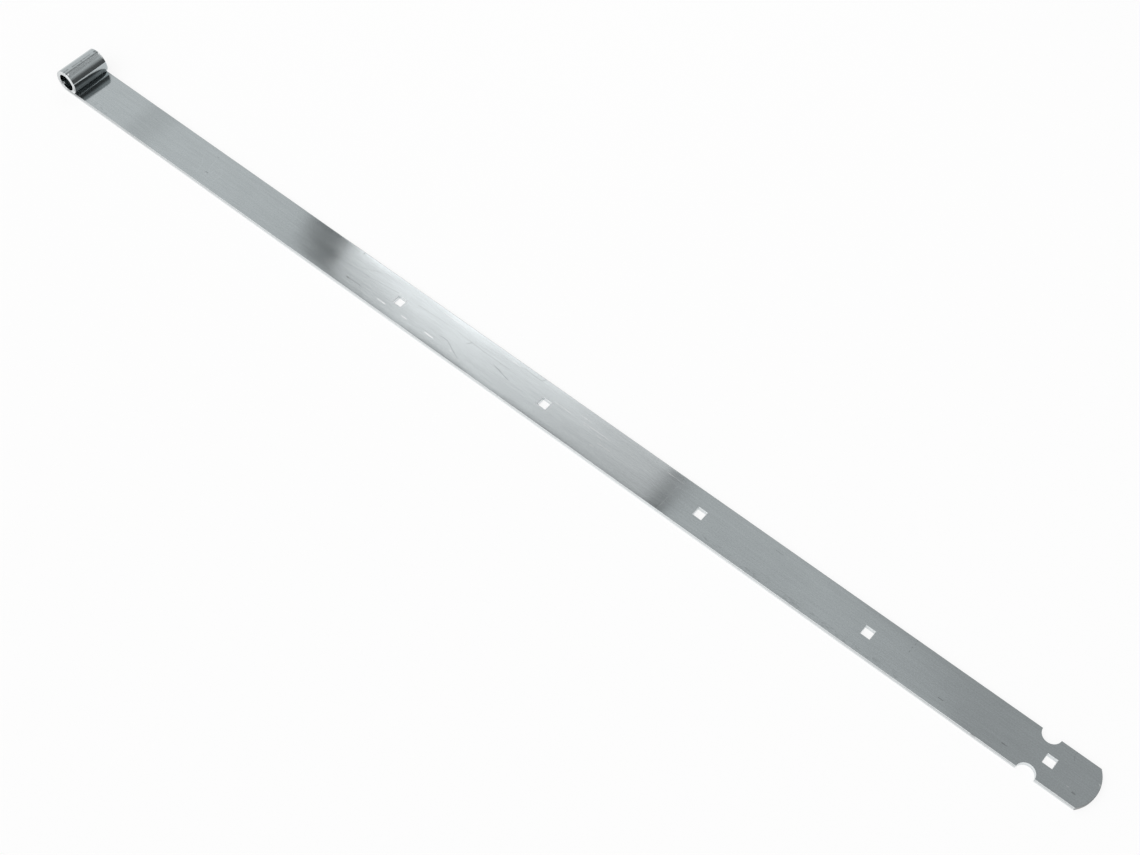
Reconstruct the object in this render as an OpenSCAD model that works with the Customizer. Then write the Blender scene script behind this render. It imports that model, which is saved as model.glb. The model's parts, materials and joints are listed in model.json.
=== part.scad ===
// Gate strap hinge: one length of flat steel bar, its end rolled into an eye for a gate pin.
// The eye's axis lies along Y through the origin. The strap runs along +X, flat on its back.

/* [Bar] */
// Width of the flat bar, which is also the length of the eye
bar_width = 40; // [30:1:56]
// Thickness of the flat bar
bar_thickness = 4; // [3:0.5:6]
// Radius of the bar's four rolled edges
edge_radius = 0.6; // [0.3:0.1:1]

/* [Rolled eye] */
// Bore of the eye, which turns on a 16 mm pin
bore_diameter = 16.5; // [13:0.5:24]
// How far past the bore's lowest point the rolled end stops
lip_offset = 3.5; // [2.5:0.5:5]
// Gap that is left between the rolled end and the strap under it
seam_gap = 0.2; // [0.1:0.05:0.4]

/* [Strap] */
// Distance from the eye's axis to the tip of the strap
strap_length = 1088; // [900:1:1500]
// Radius of the curve that the tip is sheared to
tip_radius = 30; // [22:1:80]

/* [Square holes] */
// Number of square holes along the strap
hole_count = 5; // [2:1:8]
// Side of a square hole, which takes the square neck of an 8 mm carriage bolt
hole_side = 8.5; // [6:0.5:12]
// Distance from the eye's axis to the middle of the first hole
first_hole = 400; // [100:1:600]
// Distance from the middle of the last hole to the tip
tip_margin = 40; // [30:1:80]
// Width of the edge that the punch drew down round each hole
punch_roll = 0.4; // [0.2:0.1:0.8]

/* [Notches] */
// Radius of the half-round notch in each edge of the strap
notch_radius = 8; // [4:0.5:11]
// Distance from the notches to the middle of the last hole
notch_lead = 9.5; // [0:0.5:30]

/* [Hidden] */
$fn = 72;

bore_radius = bore_diameter / 2;
eye_radius = bore_radius + bar_thickness;
middle_radius = bore_radius + bar_thickness / 2;
top_face = -bore_radius;
back_face = -eye_radius;
lip_angle = asin(lip_offset / bore_radius);
last_hole = strap_length - tip_margin;
hole_pitch = (last_hole - first_hole) / (hole_count - 1);
notch_x = last_hole - notch_lead;
tip_centre = strap_length - tip_radius;
// Length by which a cutter stands clear of the face that it cuts through
overcut = 2;

// Section of the flat bar, thickness along X and width along Y, its corners rounded
module bar_section() {
    flat_thickness = bar_thickness - 2 * edge_radius;
    flat_width = bar_width - 2 * edge_radius;
    square([bar_thickness, flat_width], center = true);
    square([flat_thickness, bar_width], center = true);
    for (side = [-1, 1], end = [-1, 1])
        translate([side * flat_thickness / 2, end * flat_width / 2]) circle(edge_radius);
}

// Straight run of the bar, left a little too long for the shears to trim
module straight_bar() {
    translate([0, 0, (top_face + back_face) / 2])
        rotate([0, 90, 0])
            linear_extrude(strap_length + overcut) bar_section();
}

// The bar rolled back over itself, from under the axis to the lip that comes down on the strap
module curl() {
    difference() {
        rotate([-90, 0, 0])
            rotate([0, 0, 90])
                rotate_extrude(angle = 360 - lip_angle)
                    translate([middle_radius, 0]) bar_section();
        seat_cutter();
    }
}

// Bevels the rolled end, so that it lies along the strap and clears it by the seam
module seat_cutter() {
    translate([lip_offset / 2, -bar_width, back_face])
        cube([eye_radius, 2 * bar_width, bar_thickness + seam_gap]);
}

// Column through the strap's thickness, as tall as every cutter needs to be
module through_strap() {
    translate([0, 0, back_face - overcut])
        linear_extrude(bar_thickness + 2 * overcut) children();
}

// Square hole, with its mouth drawn down by the punch
module square_hole() {
    through_strap() square(hole_side, center = true);
    intersection() {
        hole_mouth();
        rotate(90) hole_mouth();
    }
}

// Wedge-sided channel across the strap, and two of them crossed make a hole's flared mouth
module hole_mouth() {
    half = hole_side / 2;
    translate([0, 0, top_face])
        rotate([90, 0, 0])
            linear_extrude(2 * hole_side, center = true)
                polygon([
                    [-half, -punch_roll],
                    [half, -punch_roll],
                    [half + 2 * punch_roll, punch_roll],
                    [-half - 2 * punch_roll, punch_roll]
                ]);
}

// Half-round notches, one in each edge and centred on it
module notches() {
    for (side = [-1, 1])
        translate([notch_x, side * bar_width / 2])
            through_strap() circle(notch_radius);
}

// What the shears take off outside the curve of the tip
module tip_cutter() {
    through_strap()
        translate([tip_centre, 0])
            difference() {
                translate([0, -bar_width]) square([tip_radius + 2 * overcut, 2 * bar_width]);
                circle(tip_radius);
            }
}

module strap() {
    color([0.64, 0.67, 0.68])
        difference() {
            union() {
                curl();
                straight_bar();
            }
            for (i = [0 : hole_count - 1])
                translate([first_hole + i * hole_pitch, 0]) square_hole();
            notches();
            tip_cutter();
        }
}

strap();
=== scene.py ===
import json
import math

import bmesh
import bpy
import numpy as np
from mathutils import Matrix, Vector


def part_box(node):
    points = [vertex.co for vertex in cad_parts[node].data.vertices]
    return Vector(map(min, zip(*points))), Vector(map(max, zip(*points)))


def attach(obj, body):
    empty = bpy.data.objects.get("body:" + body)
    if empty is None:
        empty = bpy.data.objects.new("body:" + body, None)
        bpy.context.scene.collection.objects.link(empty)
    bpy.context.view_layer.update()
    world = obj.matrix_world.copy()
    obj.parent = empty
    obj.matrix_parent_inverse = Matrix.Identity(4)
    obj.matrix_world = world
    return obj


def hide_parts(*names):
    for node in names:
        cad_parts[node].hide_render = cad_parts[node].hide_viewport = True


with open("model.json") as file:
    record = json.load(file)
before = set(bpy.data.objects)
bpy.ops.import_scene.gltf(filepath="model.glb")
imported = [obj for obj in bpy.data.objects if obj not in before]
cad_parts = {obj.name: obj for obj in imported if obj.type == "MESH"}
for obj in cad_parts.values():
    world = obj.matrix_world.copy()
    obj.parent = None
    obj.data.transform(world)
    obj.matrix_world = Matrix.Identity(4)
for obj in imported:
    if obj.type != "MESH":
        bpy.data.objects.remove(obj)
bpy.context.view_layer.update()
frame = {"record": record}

# Sizes in metres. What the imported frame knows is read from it, and the rest repeats the source.
MOUNTS = {m["name"]: m for m in frame["record"]["mounts"]}
LOW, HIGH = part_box("strap")
BORE_RADIUS = MOUNTS["eye_bore"]["dims"]["r_mm"] / 1000
BAR_WIDTH = HIGH.y - LOW.y
BACK_FACE = MOUNTS["back_face"]["pos_m"][2]
TOP_FACE = -BORE_RADIUS
BAR_THICKNESS = TOP_FACE - BACK_FACE
EYE_RADIUS = BORE_RADIUS + BAR_THICKNESS
STRAP_LENGTH = HIGH.x
HOLES_X = [MOUNTS[f"bolt_hole_{i}"]["pos_m"][0] for i in range(1, 6)]
NOTCH_X = MOUNTS["notch_front"]["pos_m"][0]
EDGE_RADIUS = 0.0006
HOLE_SIDE = 0.0085
PUNCH_ROLL = 0.0004
SHEAR_ROLL = 0.00025
NOTCH_RADIUS = 0.008
TIP_RADIUS = 0.030
LIP_OFFSET = 0.0035
SEAM_GAP = 0.0002
OVERCUT = 0.002
CROWN_REACH = 0.006
CROWN_DROP = 0.00003

# Mesh fineness
CURL_STEPS = 150
CORNER_STEPS = 6
CROWN_STEPS = 4
ROLL_STEPS = 4
ROUND_STEPS = 96

# Camera, solved from the strap's outline in the photograph
CAMERA_PLACE = Vector((1.0470, -0.6292, 1.1600))
CAMERA_LOOK = Vector((0.5933, -0.0046, -0.00825))
CAMERA_ROLL = math.radians(4.13)
CAMERA_LENS = 53.77
SENSOR_WIDTH = 36.0

# Studio: levels are radiances, on which 1 is white
FRONT_LEVEL = 1.68
LOW_FRONT_LEVEL = 0.75
SIDE_LEVELS = ((-0.9, 0.70), (-0.55, 0.68), (-0.3, 0.44), (0.35, 0.38), (0.6, 0.41), (0.78, 0.12), (0.85, 0.09))
PANEL_HEIGHT = 1.2
PANEL_MIDDLE = 0.68
SOFTBOX = ((-0.226, 0.63), (0.305, 0.585), (0.305, 1.3), (-0.462, 1.3), (-0.447, 0.737), (-0.413, 0.66))
SOFTBOX_LEVEL = 1.68
SOFTBOX_TINT = (1.0, 0.97, 0.965)
SOFTBOX_FADE = (-0.25, 0.29, 0.49)
FRAME = (
    (-0.36, 0.55), (0.34, 0.55), (0.34, 0.66), (0.306, 0.70),
    (0.306, 1.38), (-0.57, 1.38), (-0.537, 0.69), (-0.465, 0.625),
)
FRAME_LEVEL = 0.12
FILL_PANEL = ((0.345, 0.54), (0.9, 0.48), (0.87, 1.3), (0.345, 1.3))
FILL_LEVEL = 0.59
FILL_FADE = (0.66, 0.88, 0.68)
FILL_SLANT = 1.5
FLOOR_GLOW = 0.82

# Finish. Places on the bar are in millimetres: along from under the eye's axis, and across.
# Round the eye, along runs backwards from 0 under the axis to -60 at the lip.
STEEL = (0.588, 0.64, 0.655)
EDGE_STEEL = (0.82, 0.85, 0.86)
SHEARED_STEEL = (0.76, 0.79, 0.80)
BARE_STEEL_AND_GLINT = (0.88, 0.90, 0.91)
GRIME_RUNS = ((30, 52), (735, 765), (775, 805), (812, 925))
# Marks are lists of (strength, half width, lines), and each line is a run of places.
DARK_MARKS = (
    (0.35, 0.45, (
        ((337, 0.8), (363, 2.2), (393, 5.8)),
        ((415, 7.2), (443, 8.3), (477, 7.7), (493, 6.8), (517, 7.2)),
        ((1060, 19.7), (1060, 15), (1062, 12)),
        ((350, 5), (367, 12.7)),
        ((527, 16.5), (545, 15.8), (562, 15)),
    )),
    (0.7, 0.45, (
        ((472.5, 2.7), (476, 7.5)),
        ((505, 2.2), (524, -2)),
        ((450, -5), (458, -4.2), (470, -10), (477, -12.8)),
        ((349, -10.3), (362, -9.9)),
        ((545, 15.5), (548, 19)),
        ((919, 19.7), (919.4, 18.4)),
        ((919.8, 16), (919.6, 14.6)),
        ((919.2, 12), (919.2, 10.8)),
        ((919.3, 8), (919.3, 6.4)),
    )),
    (0.8, 0.6, (
        ((164, 12.7), (166, 12.7)),
        ((169, -6.5), (171.5, -6.5)),
        ((341, 17.5), (341.3, 19.3)),
        ((957, -10.7), (961, -10.7)),
        ((1013, -10.7), (1017, -10.7)),
        ((991.5, -19.5), (995, -19.5)),
    )),
    (1.0, 1.0, (
        ((347.5, -10.4), (349, -10.3)),
        ((1073, -10.4), (1075, -10.6)),
    )),
    (0.45, 0.6, (
        ((790, 12.7), (797, 12.4)),
    )),
)
LIGHT_MARKS_AND_GLINT = (
    (0.85, 0.8, (
        ((384, -10.7), (392, -10.7)),
        ((411.5, -10.7), (417, -10.7)),
        ((438.5, -10.8), (447, -10.8)),
        ((467, -10.8), (468, -10.8)),
        ((1063.5, -19.6), (1065.5, -19.6)),
        ((1067.7, -8.7), (1068.4, -8.7)),
        ((1085.6, 8), (1086.2, 7.4)),
    )),
    # Painted highlight: a glint on the lower wall of the bore, near its front end.
    (1.0, 2.0, (
        ((-10.6, -19.5), (-8.8, -18.6)),
    )),
    (0.7, 0.4, (
        ((437, 15.8), (462, 15.8)),
        ((515, 15.5), (523, 15.5)),
        ((567.5, 6.8), (585, 6.8)),
        ((592.5, 11), (603, 11)),
        ((598, 6.9), (627, 6.8)),
        ((600, 5.4), (606, 5)),
        ((615, 4), (621, 3.2)),
        ((616, -6.7), (620, -6.5)),
        ((620, -1.5), (633, -1.5)),
        ((680, 13.7), (698, 13.7)),
    )),
    (0.3, 0.25, (
        ((704, 8.3), (695, 8.3), (695, -18.7)),
    )),
)
DRIED_DROPS = (
    (1.0, 0.7, (
        ((152, 10), (155, 3), (160, -3), (163, -12)),
        ((166, 10), (167, 4), (170, -4), (171, -13)),
        ((174, -12), (173.5, 0), (178, 5), (182.5, 0), (182, -12)),
    )),
)
EYE_DARK_MARKS = (
    (0.8, 0.9, (
        ((-34.3, -20), (-34.1, -6), (-34.2, 8), (-34.0, 20)),
        ((-31.8, -20), (-31.6, -14)),
        ((-32.0, -9), (-32.1, 12)),
    )),
    (1.0, 1.2, (
        ((-32.4, 0.7), (-32.4, 1.6)),
        ((-32.1, 17.2), (-32.2, 18.8)),
        ((-34.8, -18.6), (-34.4, -17.8)),
    )),
)
EYE_LIGHT_MARKS = (
    (1.0, 0.8, (
        ((-35.6, -18.4), (-35.4, -17.4)),
        ((-40.2, 19.1), (-37.6, 19.2)),
        ((-36.6, 18.9), (-35.6, 19.2)),
    )),
)


def new_mesh(name, vertices, faces):
    """A mesh object with its faces turned outwards."""
    mesh = bpy.data.meshes.new(name)
    mesh.from_pydata(vertices, [], faces)
    shape = bmesh.new()
    shape.from_mesh(mesh)
    bmesh.ops.recalc_face_normals(shape, faces=shape.faces)
    shape.to_mesh(mesh)
    shape.free()
    piece = bpy.data.objects.new(name, mesh)
    bpy.context.scene.collection.objects.link(piece)
    return piece


def stacked(name, rings):
    """A closed form through rings of points, all with the same count, from the bottom one up."""
    count = len(rings[0])
    vertices = [point for ring in rings for point in ring]
    last = len(vertices) - count
    faces = [tuple(reversed(range(count))), tuple(range(last, last + count))]
    for ring in range(0, last, count):
        for i in range(count):
            j = (i + 1) % count
            faces.append((ring + i, ring + j, ring + count + j, ring + count + i))
    return new_mesh(name, vertices, faces)


def rectangle(left, right, front, rear):
    return [(left, front), (right, front), (right, rear), (left, rear)]


def arc(centre, radius, start, end, steps):
    """Points along an arc, its angles in degrees."""
    angles = [math.radians(start + (end - start) * i / steps) for i in range(steps + 1)]
    return [(centre[0] + radius * math.cos(a), centre[1] + radius * math.sin(a)) for a in angles]


def crowned_face(side):
    """Offsets (drop, y) along one face of the bar, which falls off a trace towards its edges."""
    reach = CROWN_REACH - EDGE_RADIUS
    right = []
    for step in range(CROWN_STEPS):
        share = step / CROWN_STEPS
        right.append((CROWN_DROP * share ** 2, side - reach + reach * share))
    return [(drop, -y) for drop, y in reversed(right)] + right


def bar_section():
    """Points round the bar's section as (height over the back face, y)."""
    side = BAR_WIDTH / 2 - EDGE_RADIUS
    low = CROWN_DROP + EDGE_RADIUS
    high = BAR_THICKNESS - low
    face = crowned_face(side)
    points = [(BAR_THICKNESS - drop, y) for drop, y in face]
    points += arc((high, side), EDGE_RADIUS, 0, 90, CORNER_STEPS)
    points += arc((low, side), EDGE_RADIUS, 90, 180, CORNER_STEPS)
    points += [(drop, -y) for drop, y in face]
    points += arc((low, -side), EDGE_RADIUS, 180, 270, CORNER_STEPS)
    points += arc((high, -side), EDGE_RADIUS, 270, 360, CORNER_STEPS)
    return points


def curl():
    """The bar rolled back over itself, from its lip round to the plane under the bore's axis."""
    sweep = 2 * math.pi - math.asin(LIP_OFFSET / BORE_RADIUS)
    section = bar_section()
    rings = []
    for step in range(CURL_STEPS + 1):
        angle = sweep * (1 - step / CURL_STEPS)
        rings.append([
            ((height - EYE_RADIUS) * math.sin(angle), y, (height - EYE_RADIUS) * math.cos(angle))
            for height, y in section
        ])
    return stacked("strap_visual", rings)


def draw_straight_run(piece):
    """Pulls the face under the axis out into the straight run, a little too long for the shears."""
    shape = bmesh.new()
    shape.from_mesh(piece.data)
    foot = [f for f in shape.faces if all(abs(v.co.x) < 1e-7 and v.co.z < 0 for v in f.verts)]
    pulled = bmesh.ops.extrude_face_region(shape, geom=foot)["geom"]
    points = [v for v in pulled if isinstance(v, bmesh.types.BMVert)]
    bmesh.ops.translate(shape, verts=points, vec=(STRAP_LENGTH + OVERCUT, 0, 0))
    bmesh.ops.delete(shape, geom=foot, context="FACES_ONLY")
    shape.to_mesh(piece.data)
    shape.free()


def seat_cutter():
    """Bevels the lip, so that it lies along the strap and clears it by the seam."""
    outline = rectangle(LIP_OFFSET / 2, LIP_OFFSET / 2 + EYE_RADIUS, -BAR_WIDTH, BAR_WIDTH)
    levels = (BACK_FACE - OVERCUT, TOP_FACE + SEAM_GAP)
    return stacked("seat_cutter", [[(x, y, z) for x, y in outline] for z in levels])


def press_cutter(name, outline, roll):
    """A cutter whose upper end flares round the edge that punch or shears drew down.
    outline gives the plan of the cut for a flare."""
    levels = [(BACK_FACE - OVERCUT, 0)]
    for step in range(ROLL_STEPS + 1):
        angle = math.radians(90 * step / ROLL_STEPS)
        levels.append((TOP_FACE - roll * (1 - math.sin(angle)), roll * (1 - math.cos(angle))))
    levels.append((TOP_FACE + OVERCUT, roll))
    return stacked(name, [[(x, y, z) for x, y in outline(flare)] for z, flare in levels])


def hole_outline(x):
    half = HOLE_SIDE / 2
    return lambda flare: rectangle(x - half - flare, x + half + flare, -half - flare, half + flare)


def notch_outline(side):
    centre = (NOTCH_X, side * BAR_WIDTH / 2)
    return lambda flare: arc(centre, NOTCH_RADIUS + flare, 0, 360, ROUND_STEPS)[:-1]


def tip_outline(flare):
    """What lies outside the tip's curve."""
    centre = STRAP_LENGTH - TIP_RADIUS
    side = TIP_RADIUS + OVERCUT
    corners = rectangle(centre, STRAP_LENGTH + 2 * OVERCUT, -side, side)
    return corners + arc((centre, 0), TIP_RADIUS - flare, 90, -90, 2 * ROUND_STEPS)


def cut(piece, tool, surface):
    """Subtracts tool from piece, gives the cut its surface and removes the tool."""
    tool.data.materials.append(surface)
    modifier = piece.modifiers.new("cut", "BOOLEAN")
    modifier.operation = "DIFFERENCE"
    modifier.solver = "EXACT"
    modifier.material_mode = "TRANSFER"
    modifier.object = tool
    bpy.context.view_layer.objects.active = piece
    bpy.ops.object.modifier_apply(modifier=modifier.name)
    bpy.data.objects.remove(tool)


def clean(piece):
    """Joins doubled points and drops faces without area, which the cuts can leave."""
    shape = bmesh.new()
    shape.from_mesh(piece.data)
    bmesh.ops.remove_doubles(shape, verts=shape.verts, dist=2e-6)
    bmesh.ops.dissolve_degenerate(shape, edges=shape.edges, dist=2e-6)
    shape.to_mesh(piece.data)
    shape.free()


def finish_shading(piece):
    """Smooth rounds, crisp sheared edges, and flats that stay flat."""
    mesh = piece.data
    mesh.polygons.foreach_set("use_smooth", [True] * len(mesh.polygons))
    mesh.set_sharp_from_angle(angle=math.radians(32))
    modifier = piece.modifiers.new("flats", "WEIGHTED_NORMAL")
    modifier.keep_sharp = True
    modifier.weight = 100
    bpy.context.view_layer.objects.active = piece
    bpy.ops.object.modifier_apply(modifier=modifier.name)


def add_bar_fields(piece):
    """Stores, for the finish, where each point lay on the straight bar and the way its grain runs."""
    mesh = piece.data
    points = np.zeros(len(mesh.vertices) * 3)
    mesh.vertices.foreach_get("co", points)
    x, y, z = points.reshape(-1, 3).T
    rolled = (x < 0) | (z > TOP_FACE + SEAM_GAP / 2)
    angle = np.mod(np.arctan2(-x, -z), 2 * math.pi)
    middle = BORE_RADIUS + BAR_THICKNESS / 2
    along = np.where(rolled, -angle * middle, x)
    height = np.where(rolled, EYE_RADIUS - np.hypot(x, z), z - BACK_FACE)
    grain_x = np.where(rolled, np.cos(angle), 1)
    grain_z = np.where(rolled, -np.sin(angle), 0)
    fields = {"bar_place": (along, y, height), "bar_grain": (grain_x, np.zeros_like(x), grain_z)}
    for name, parts in fields.items():
        field = mesh.attributes.new(name, "FLOAT_VECTOR", "POINT")
        field.data.foreach_set("vector", np.column_stack(parts).astype(np.float32).ravel())


class Finish:
    """One material and the nodes that make its pattern. Values are sockets or plain numbers."""

    def __init__(self, name):
        self.material = bpy.data.materials.new(name)
        self.material.use_nodes = True
        self.tree = self.material.node_tree
        self.shader = self.tree.nodes["Principled BSDF"]

    def put(self, socket, value):
        if isinstance(value, bpy.types.NodeSocket):
            self.tree.links.new(value, socket)
        else:
            socket.default_value = value

    def node(self, kind, *values, **settings):
        made = self.tree.nodes.new(kind)
        for key, value in settings.items():
            setattr(made, key, value)
        for socket, value in zip(made.inputs, values):
            if value is not None:
                self.put(socket, value)
        return made

    def math(self, operation, *values, clamp=False):
        return self.node("ShaderNodeMath", *values, operation=operation, use_clamp=clamp).outputs[0]

    def vector(self, operation, *values):
        made = self.node("ShaderNodeVectorMath", *values, operation=operation)
        return made.outputs["Value" if operation in ("DOT_PRODUCT", "DISTANCE") else "Vector"]

    def ramp(self, value, start, end, low=0.0, high=1.0):
        """Goes smoothly from low to high as value goes from start to end."""
        made = self.node("ShaderNodeMapRange", value, start, end, low, high)
        made.interpolation_type = "SMOOTHSTEP"
        return made.outputs[0]

    def noise(self, place, stretch, detail=3.0, roughness=0.5):
        """Noise of the bar, with the size of its features along, across and through it in mm."""
        scaled = self.vector("DIVIDE", place, stretch)
        return self.node("ShaderNodeTexNoise", scaled, None, 1.0, detail, roughness).outputs[0]

    def attribute(self, name):
        return self.node("ShaderNodeAttribute", attribute_name=name).outputs["Vector"]

    def line(self, place, start, end, width):
        """1 on a straight mark on the bar and 0 beside it. place has no height."""
        run = (end[0] - start[0], end[1] - start[1], 0)
        length = run[0] ** 2 + run[1] ** 2
        offset = self.vector("SUBTRACT", place, (start[0], start[1], 0))
        share = self.math("DIVIDE", self.vector("DOT_PRODUCT", offset, run), length)
        share = self.node("ShaderNodeClamp", share).outputs[0]
        nearest = self.node("ShaderNodeVectorMath", run, operation="SCALE")
        self.put(nearest.inputs["Scale"], share)
        gap = self.vector("DISTANCE", offset, nearest.outputs[0])
        return self.ramp(gap, width, 0.3 * width)

    def marks(self, place, groups):
        """The strongest of all the marks of a list at each place."""
        total = 0.0
        for strength, width, lines in groups:
            drawn = 0.0
            for points in lines:
                for start, end in zip(points, points[1:]):
                    drawn = self.math("MAXIMUM", self.line(place, start, end, width), drawn)
            total = self.math("MAXIMUM", self.math("MULTIPLY", drawn, strength), total)
        return total

    def blend(self, share, first, second):
        """Mixes two colours, or two numbers, by share."""
        colours = any(isinstance(value, tuple) for value in (first, second))
        made = self.node("ShaderNodeMix", data_type="RGBA" if colours else "FLOAT")
        kind = "RGBA" if colours else "VALUE"
        ends = [i for i in made.inputs if i.type == kind and i.name in "AB"]
        self.put(made.inputs[0], share)
        for socket, value in zip(ends, (first, second)):
            self.put(socket, (*value, 1.0) if isinstance(value, tuple) else value)
        return next(o for o in made.outputs if o.type == kind)


def grained(finish):
    """The bar's place in mm, and a tangent across the grain that spreads the gloss that way."""
    place = finish.node("ShaderNodeVectorMath", finish.attribute("bar_place"), operation="SCALE")
    finish.put(place.inputs["Scale"], 1000.0)
    normal = finish.node("ShaderNodeNewGeometry").outputs["Normal"]
    finish.put(finish.shader.inputs["Tangent"],
               finish.vector("CROSS_PRODUCT", normal, finish.attribute("bar_grain")))
    return place.outputs[0]


def grain(finish, place, on_eye):
    """How light the metal is: fine lines along the bar or across its bend, blotches and grain."""
    streaks = finish.noise(place, (28, 0.9, 0.9), 4.0, 0.6)
    scores = finish.noise(place, (0.9, 50, 4), 3.0, 0.6)
    lines = finish.blend(on_eye, streaks, scores)
    depth = finish.blend(on_eye, 0.04, 0.05)
    line_shade = finish.math("MULTIPLY_ADD", finish.ramp(lines, 0.3, 0.7, -1.0, 1.0), depth, 1.0)
    blotches = finish.ramp(finish.noise(place, (15, 9, 9), 4.0, 0.6), 0.3, 0.7, 0.988, 1.012)
    speckle = finish.ramp(finish.noise(place, (1.3, 1.0, 1.0), 2.0), 0.3, 0.7, 0.95, 1.05)
    shade = finish.math("MULTIPLY", line_shade, finish.math("MULTIPLY", blotches, speckle))
    return shade, streaks, scores


def shade_and_grime(finish, place, along, across, on_eye, on_top, edge):
    """Masks, each with its depth, of where the metal is drawn darker: painted shade under the eye, on the eye's side
    that faces along the strap, and in the bore; the eye's outside darker from near its foot round its back; the bar
    darker from 64 to 116 mm; and grime in spots near the front edge.
    """
    # The eye's ring ends, from 33 to 44 mm round it, are left out of the darkening below.
    spared_end = finish.math("MULTIPLY", finish.ramp(along, -51.0, -44.0), finish.ramp(along, -27.0, -33.0))
    off_edge = finish.math("SUBTRACT", 1.0, finish.math("MULTIPLY", spared_end, edge))
    # Painted shade on the top face under the eye, out to 13 mm and fading by 20 mm.
    under_eye = finish.math("MULTIPLY", finish.ramp(along, 20.0, 13.0),
                            finish.math("SUBTRACT", on_top, on_eye, clamp=True))
    on_outside = finish.math("MULTIPLY", finish.math("SUBTRACT", 1.0, on_top), off_edge)
    # Painted shade on the eye's outside where it faces along the strap, 45 to 50 mm round, weaker towards the rear
    # edge.
    eye_front = finish.math("MULTIPLY", finish.ramp(along, -43.2, -45.2), finish.ramp(along, -54.0, -50.0))
    eye_front = finish.math("MULTIPLY", eye_front, finish.ramp(across, 12.0, 0.0, 0.55, 1.0))
    eye_back = finish.math("MULTIPLY", finish.ramp(along, -28.8, -26.8), on_eye)
    eye_side_shade = finish.math("MULTIPLY", eye_front, on_outside)
    bend = finish.math("MULTIPLY", eye_back, on_outside)
    # Painted shade in the bore.
    bore = finish.math("MULTIPLY", finish.math("MULTIPLY", on_eye, on_top), off_edge)
    darker_stretch = finish.math("MULTIPLY", finish.ramp(along, 64.0, 84.0), finish.ramp(along, 116.0, 92.0))
    band = finish.math("MULTIPLY", finish.ramp(across, -12.5, -16.0), finish.ramp(across, -19.5, -18.2))
    spots = finish.ramp(finish.noise(place, (4, 1.6, 1.6), 3.0), 0.5, 0.64)
    patches = 0.0
    for start, end in GRIME_RUNS:
        run = finish.math("MULTIPLY", finish.ramp(along, start - 5, start + 5), finish.ramp(along, end + 5, end - 5))
        patches = finish.math("MAXIMUM", run, patches)
    grime = finish.math("MULTIPLY", band, finish.math("MULTIPLY", spots, patches))
    return (under_eye, 0.32), (eye_side_shade, 0.48), (bend, 0.2), (bore, 0.2), (darker_stretch, 0.11), (grime, 0.15)


def wear_and_glint(finish, flat, place, on_top):
    """Masks of dark and of bright marks. The bright ones include a painted highlight, a glint in the bore."""
    broken = finish.ramp(finish.noise(place, (6, 3, 3), 2.0), 0.35, 0.6, 0.5, 1.0)
    outside = finish.math("SUBTRACT", 1.0, on_top)
    masks = []
    for top_marks, eye_marks in ((DARK_MARKS, EYE_DARK_MARKS), (LIGHT_MARKS_AND_GLINT, EYE_LIGHT_MARKS)):
        on_bar = finish.math("MULTIPLY", finish.marks(flat, top_marks), on_top)
        on_eye = finish.math("MULTIPLY", finish.marks(flat, eye_marks), outside)
        masks.append(finish.math("MULTIPLY", finish.math("MAXIMUM", on_bar, on_eye), broken))
    return masks


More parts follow.
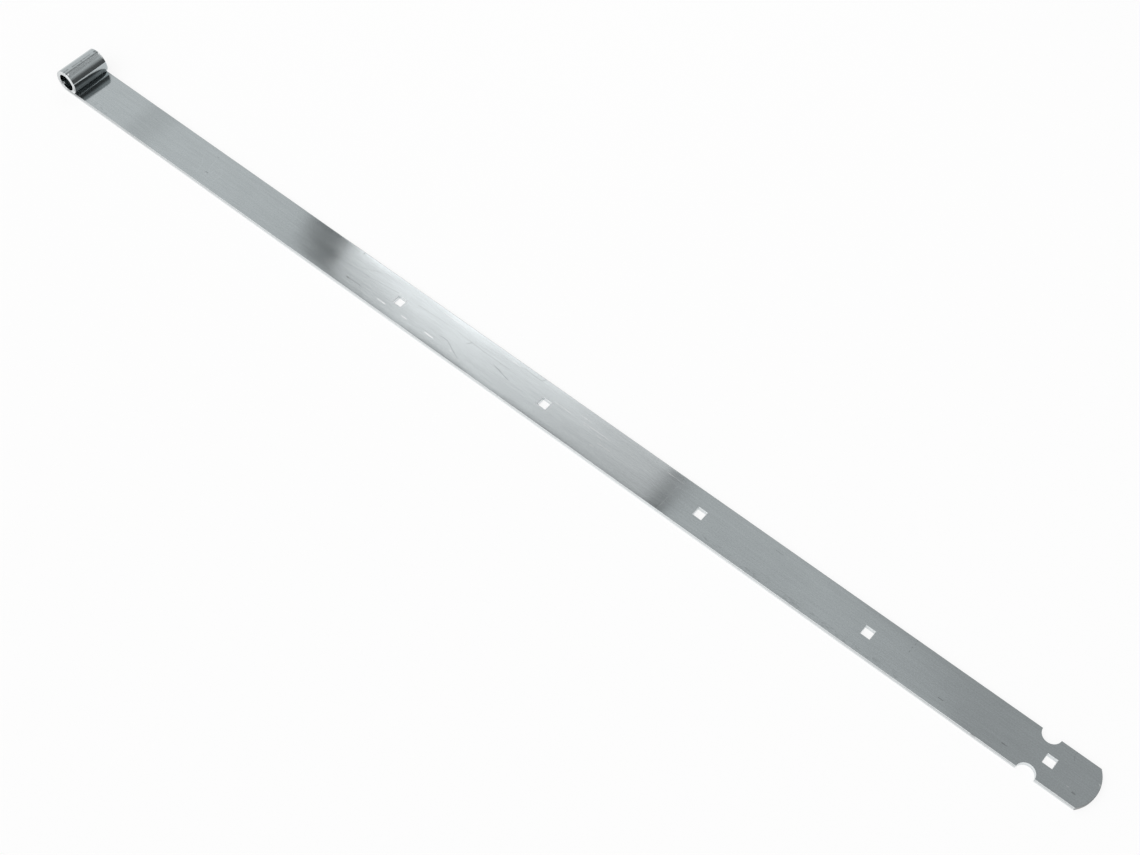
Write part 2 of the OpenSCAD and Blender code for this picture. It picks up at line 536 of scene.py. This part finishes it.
def rolled_steel():
    """Bright drawn steel: faintly lined along the bar and scored along the rolled eye."""
    finish = Finish("rolled_steel")
    shader = finish.shader
    shader.inputs["Metallic"].default_value = 1.0
    shader.inputs["Anisotropic"].default_value = 0.9
    place = grained(finish)
    along, across, height = finish.node("ShaderNodeSeparateXYZ", place).outputs
    flat = finish.node("ShaderNodeCombineXYZ", along, across, 0.0).outputs[0]
    on_eye = finish.ramp(along, 1.0, -3.0)
    on_top = finish.ramp(height, 1.5, 2.5)
    edge = finish.ramp(finish.math("ABSOLUTE", across), 19.2, 19.65)
    dark, light = wear_and_glint(finish, flat, place, on_top)
    shade, streaks, scores = grain(finish, place, on_eye)

    for mask, depth in (*shade_and_grime(finish, place, along, across, on_eye, on_top, edge), (dark, 0.5)):
        shade = finish.math("MULTIPLY", shade, finish.math("MULTIPLY_ADD", mask, -depth, 1.0))
    base = finish.blend(edge, STEEL, EDGE_STEEL)
    # Bright marks, and the painted glint in the bore, take the bare steel's colour.
    base = finish.blend(light, base, BARE_STEEL_AND_GLINT)
    side = finish.math("MULTIPLY", edge, finish.math("SUBTRACT", 1.0, on_eye))
    # Painted shade: the side faces of the straight run darker towards their top.
    upper_edge = finish.math("MULTIPLY", side, finish.ramp(height, 1.2, 3.6))
    shade = finish.math("MULTIPLY", shade, finish.math("MULTIPLY_ADD", upper_edge, -0.23, 1.0))
    # Painted highlight and shade on the side faces: 5 % lighter in the middle of the run, from 420 to 640 mm, and 8
    # % darker towards both ends.
    side_sheen_and_shade = finish.math("MULTIPLY", finish.ramp(along, 40.0, 420.0), finish.ramp(along, 1000.0, 640.0))
    side_sheen_and_shade = finish.math("MULTIPLY_ADD", side_sheen_and_shade, 0.13, -0.08)
    side_sheen_and_shade = finish.math("MULTIPLY", side_sheen_and_shade, side)
    shade = finish.math("MULTIPLY", shade, finish.math("ADD", side_sheen_and_shade, 1.0))
    tinted = finish.node("ShaderNodeVectorMath", base, operation="SCALE")
    drops = finish.math("MULTIPLY", finish.marks(flat, DRIED_DROPS), on_top)
    shade = finish.math("MULTIPLY", shade, finish.math("MULTIPLY_ADD", drops, 0.05, 1.0))
    finish.put(tinted.inputs["Scale"], shade)
    finish.put(shader.inputs["Base Color"], tinted.outputs[0])

    clouds = finish.noise(place, (60, 25, 25), 2.0)
    gloss = finish.ramp(clouds, 0.35, 0.65, 0.105, 0.135)
    gloss = finish.blend(edge, gloss, 0.28)
    gloss = finish.math("MULTIPLY_ADD", light, finish.blend(on_eye, 0.12, 0.5), gloss)
    gloss = finish.math("MULTIPLY_ADD", dark, 0.02, gloss)
    finish.put(shader.inputs["Roughness"], gloss)

    # Heights in mm: the faces' slow waves, drawn lines, and the scores of the bending rolls
    relief = finish.math("MULTIPLY", clouds, 0.02)
    relief = finish.math("MULTIPLY_ADD", streaks, 0.0004, relief)
    scored = finish.math("MULTIPLY", on_eye, finish.ramp(along, -50.0, -43.0, 0.15, 1.0))
    relief = finish.math("MULTIPLY_ADD", finish.math("MULTIPLY", scores, scored), 0.011, relief)
    ripple = finish.math("MULTIPLY", finish.noise(place, (22, 9, 9), 2.0), finish.ramp(across, -9.0, -19.0))
    relief = finish.math("MULTIPLY_ADD", ripple, 0.02, relief)
    bump = finish.node("ShaderNodeBump")
    bump.inputs["Distance"].default_value = 0.001
    finish.put(bump.inputs["Height"], relief)
    finish.put(shader.inputs["Normal"], bump.outputs[0])
    return finish.material


def sheared_steel():
    """The walls that punch and shears left: burnished above, torn and striated below."""
    finish = Finish("sheared_steel")
    shader = finish.shader
    shader.inputs["Metallic"].default_value = 1.0
    place = grained(finish)
    along, across, height = finish.node("ShaderNodeSeparateXYZ", place).outputs
    tears = finish.noise(place, (0.35, 0.35, 3.0), 3.0, 0.6)
    torn = finish.ramp(height, 2.6, 1.8)
    shade = finish.ramp(finish.math("MULTIPLY", tears, torn), 0.2, 0.7, 1.02, 0.97)
    # Painted shade: the tip's curved wall drawn darker, the more so towards its far end.
    at_tip = finish.ramp(along, 1052.0, 1062.0)
    shade = finish.math("MULTIPLY", shade, finish.math("MULTIPLY_ADD", at_tip, -0.55, 1.0))
    shade = finish.math("MULTIPLY", shade, finish.ramp(along, 1079.0, 1087.0, 1.0, 0.65))
    tinted = finish.node("ShaderNodeVectorMath", SHEARED_STEEL, operation="SCALE")
    finish.put(tinted.inputs["Scale"], shade)
    finish.put(shader.inputs["Base Color"], tinted.outputs[0])
    finish.put(shader.inputs["Roughness"], finish.ramp(torn, 0.0, 1.0, 0.38, 0.46))
    bump = finish.node("ShaderNodeBump")
    bump.inputs["Distance"].default_value = 0.001
    finish.put(bump.inputs["Height"], finish.math("MULTIPLY", tears, 0.06))
    finish.put(shader.inputs["Normal"], bump.outputs[0])
    return finish.material


def build_strap():
    piece = curl()
    sheared = sheared_steel()
    piece.data.materials.append(rolled_steel())
    cut(piece, seat_cutter(), sheared)
    draw_straight_run(piece)
    for x in HOLES_X:
        cut(piece, press_cutter("hole_cutter", hole_outline(x), PUNCH_ROLL), sheared)
    for side in (-1, 1):
        cut(piece, press_cutter("notch_cutter", notch_outline(side), SHEAR_ROLL), sheared)
    cut(piece, press_cutter("tip_cutter", tip_outline, SHEAR_ROLL), sheared)
    clean(piece)
    finish_shading(piece)
    add_bar_fields(piece)
    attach(piece, "root")
    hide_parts("strap")
    return piece


def add_camera():
    data = bpy.data.cameras.new("camera")
    data.lens = CAMERA_LENS
    data.sensor_width = SENSOR_WIDTH
    data.clip_end = 50
    camera = bpy.data.objects.new("camera", data)
    bpy.context.scene.collection.objects.link(camera)
    aim = (CAMERA_LOOK - CAMERA_PLACE).to_track_quat("-Z", "Y").to_matrix().to_4x4()
    camera.matrix_world = Matrix.Translation(CAMERA_PLACE) @ aim @ Matrix.Rotation(CAMERA_ROLL, 4, "Z")
    bpy.context.scene.camera = camera


def flat_panel(name, outline, height, material):
    """A flat sheet of the studio, which isn't part of the object."""
    panel = new_mesh(name, [(x, y, height) for x, y in outline], [tuple(range(len(outline)))])
    panel.data.materials.append(material)
    return panel


def add_floor():
    """A pale floor that keeps the shadow. Its glow, for camera, gloss and glass, makes up white."""
    finish = Finish("floor")
    shader = finish.shader
    colour = 1.0 - FLOOR_GLOW
    shader.inputs["Base Color"].default_value = (colour, colour, colour, 1)
    shader.inputs["Roughness"].default_value = 0.9
    shader.inputs["Specular IOR Level"].default_value = 0
    shader.inputs["Emission Color"].default_value = (1, 1, 1, 1)
    rays = finish.node("ShaderNodeLightPath").outputs
    seen = finish.math("ADD", rays["Is Camera Ray"], rays["Is Glossy Ray"])
    seen = finish.math("ADD", seen, rays["Is Transmission Ray"], clamp=True)
    finish.put(shader.inputs["Emission Strength"], finish.math("MULTIPLY", seen, FLOOR_GLOW))
    reach = 8.0
    flat_panel("floor", rectangle(-reach, reach, -reach, reach), BACK_FACE, finish.material)


def glowing(name, level, fade=None, tint=(1.0, 1.0, 1.0), slant=0.0):
    """A material that gives off light, at one level or fading along X to a share of it.
    A slant lets what lies nearer in Y fade later."""
    finish = Finish(name)
    finish.tree.nodes.remove(finish.shader)
    glow = finish.node("ShaderNodeEmission", (*tint, 1.0), level)
    finish.put(finish.tree.nodes["Material Output"].inputs["Surface"], glow.outputs[0])
    if fade:
        start, end, share = fade
        place = finish.node("ShaderNodeTexCoord").outputs["Object"]
        x, y, z = finish.node("ShaderNodeSeparateXYZ", place).outputs
        nearer = finish.math("SUBTRACT", y, PANEL_MIDDLE)
        x = finish.math("MULTIPLY_ADD", nearer, slant, x)
        finish.put(glow.inputs["Strength"], finish.ramp(x, start, end, level, level * share))
    return finish.material


def add_panels():
    """The softbox that the strap mirrors, its dark frame, and a dimmer panel beside it."""
    behind = 0.01
    softbox = glowing("softbox", SOFTBOX_LEVEL, SOFTBOX_FADE, tint=SOFTBOX_TINT)
    fill = glowing("fill_panel", FILL_LEVEL, FILL_FADE, slant=FILL_SLANT)
    panels = (
        flat_panel("softbox", SOFTBOX, PANEL_HEIGHT, softbox),
        flat_panel("softbox_frame", FRAME, PANEL_HEIGHT + behind, glowing("softbox_frame", FRAME_LEVEL)),
        flat_panel("fill_panel", FILL_PANEL, PANEL_HEIGHT, fill),
    )
    for panel in panels:
        panel.visible_camera = False


def add_world():
    """White for the camera. For all other rays a studio, bright in front and dimming towards +X."""
    world = bpy.data.worlds.new("studio")
    bpy.context.scene.world = world
    world.use_nodes = True
    tree = world.node_tree
    tree.nodes.clear()
    output = tree.nodes.new("ShaderNodeOutputWorld")
    background = tree.nodes.new("ShaderNodeBackground")
    background.inputs["Color"].default_value = (1, 1, 1, 1)
    place = tree.nodes.new("ShaderNodeTexCoord")
    split = tree.nodes.new("ShaderNodeSeparateXYZ")
    tree.links.new(place.outputs["Generated"], split.inputs[0])
    unit = tree.nodes.new("ShaderNodeMapRange")
    unit.inputs["From Min"].default_value = -1
    tree.links.new(split.outputs["X"], unit.inputs["Value"])
    side = tree.nodes.new("ShaderNodeValToRGB")
    tree.links.new(unit.outputs["Result"], side.inputs["Fac"])
    stops = side.color_ramp.elements
    while len(stops) < len(SIDE_LEVELS):
        stops.new(0.5)
    for stop, (turn, level) in zip(stops, SIDE_LEVELS):
        stop.position = (turn + 1) / 2
        stop.color = (level, level, level, 1)
    front = tree.nodes.new("ShaderNodeMapRange")
    front.interpolation_type = "SMOOTHSTEP"
    tree.links.new(split.outputs["Y"], front.inputs["Value"])
    front.inputs["From Min"].default_value = 0.1
    front.inputs["From Max"].default_value = -0.3
    tree.links.new(side.outputs["Color"], front.inputs["To Min"])
    rise = tree.nodes.new("ShaderNodeMapRange")
    rise.interpolation_type = "SMOOTHSTEP"
    tree.links.new(split.outputs["Z"], rise.inputs["Value"])
    rise.inputs["From Min"].default_value = 0.35
    rise.inputs["From Max"].default_value = 0.6
    rise.inputs["To Min"].default_value = LOW_FRONT_LEVEL
    rise.inputs["To Max"].default_value = FRONT_LEVEL
    tree.links.new(rise.outputs["Result"], front.inputs["To Max"])
    paths = tree.nodes.new("ShaderNodeLightPath")
    pick = tree.nodes.new("ShaderNodeMix")
    pick.data_type = "FLOAT"
    tree.links.new(paths.outputs["Is Camera Ray"], pick.inputs["Factor"])
    tree.links.new(front.outputs["Result"], pick.inputs["A"])
    pick.inputs["B"].default_value = 1.0
    tree.links.new(pick.outputs["Result"], background.inputs["Strength"])
    tree.links.new(background.outputs[0], output.inputs["Surface"])


add_camera()
add_world()
add_floor()
add_panels()
build_strap()
bpy.context.scene.view_settings.view_transform = "Standard"
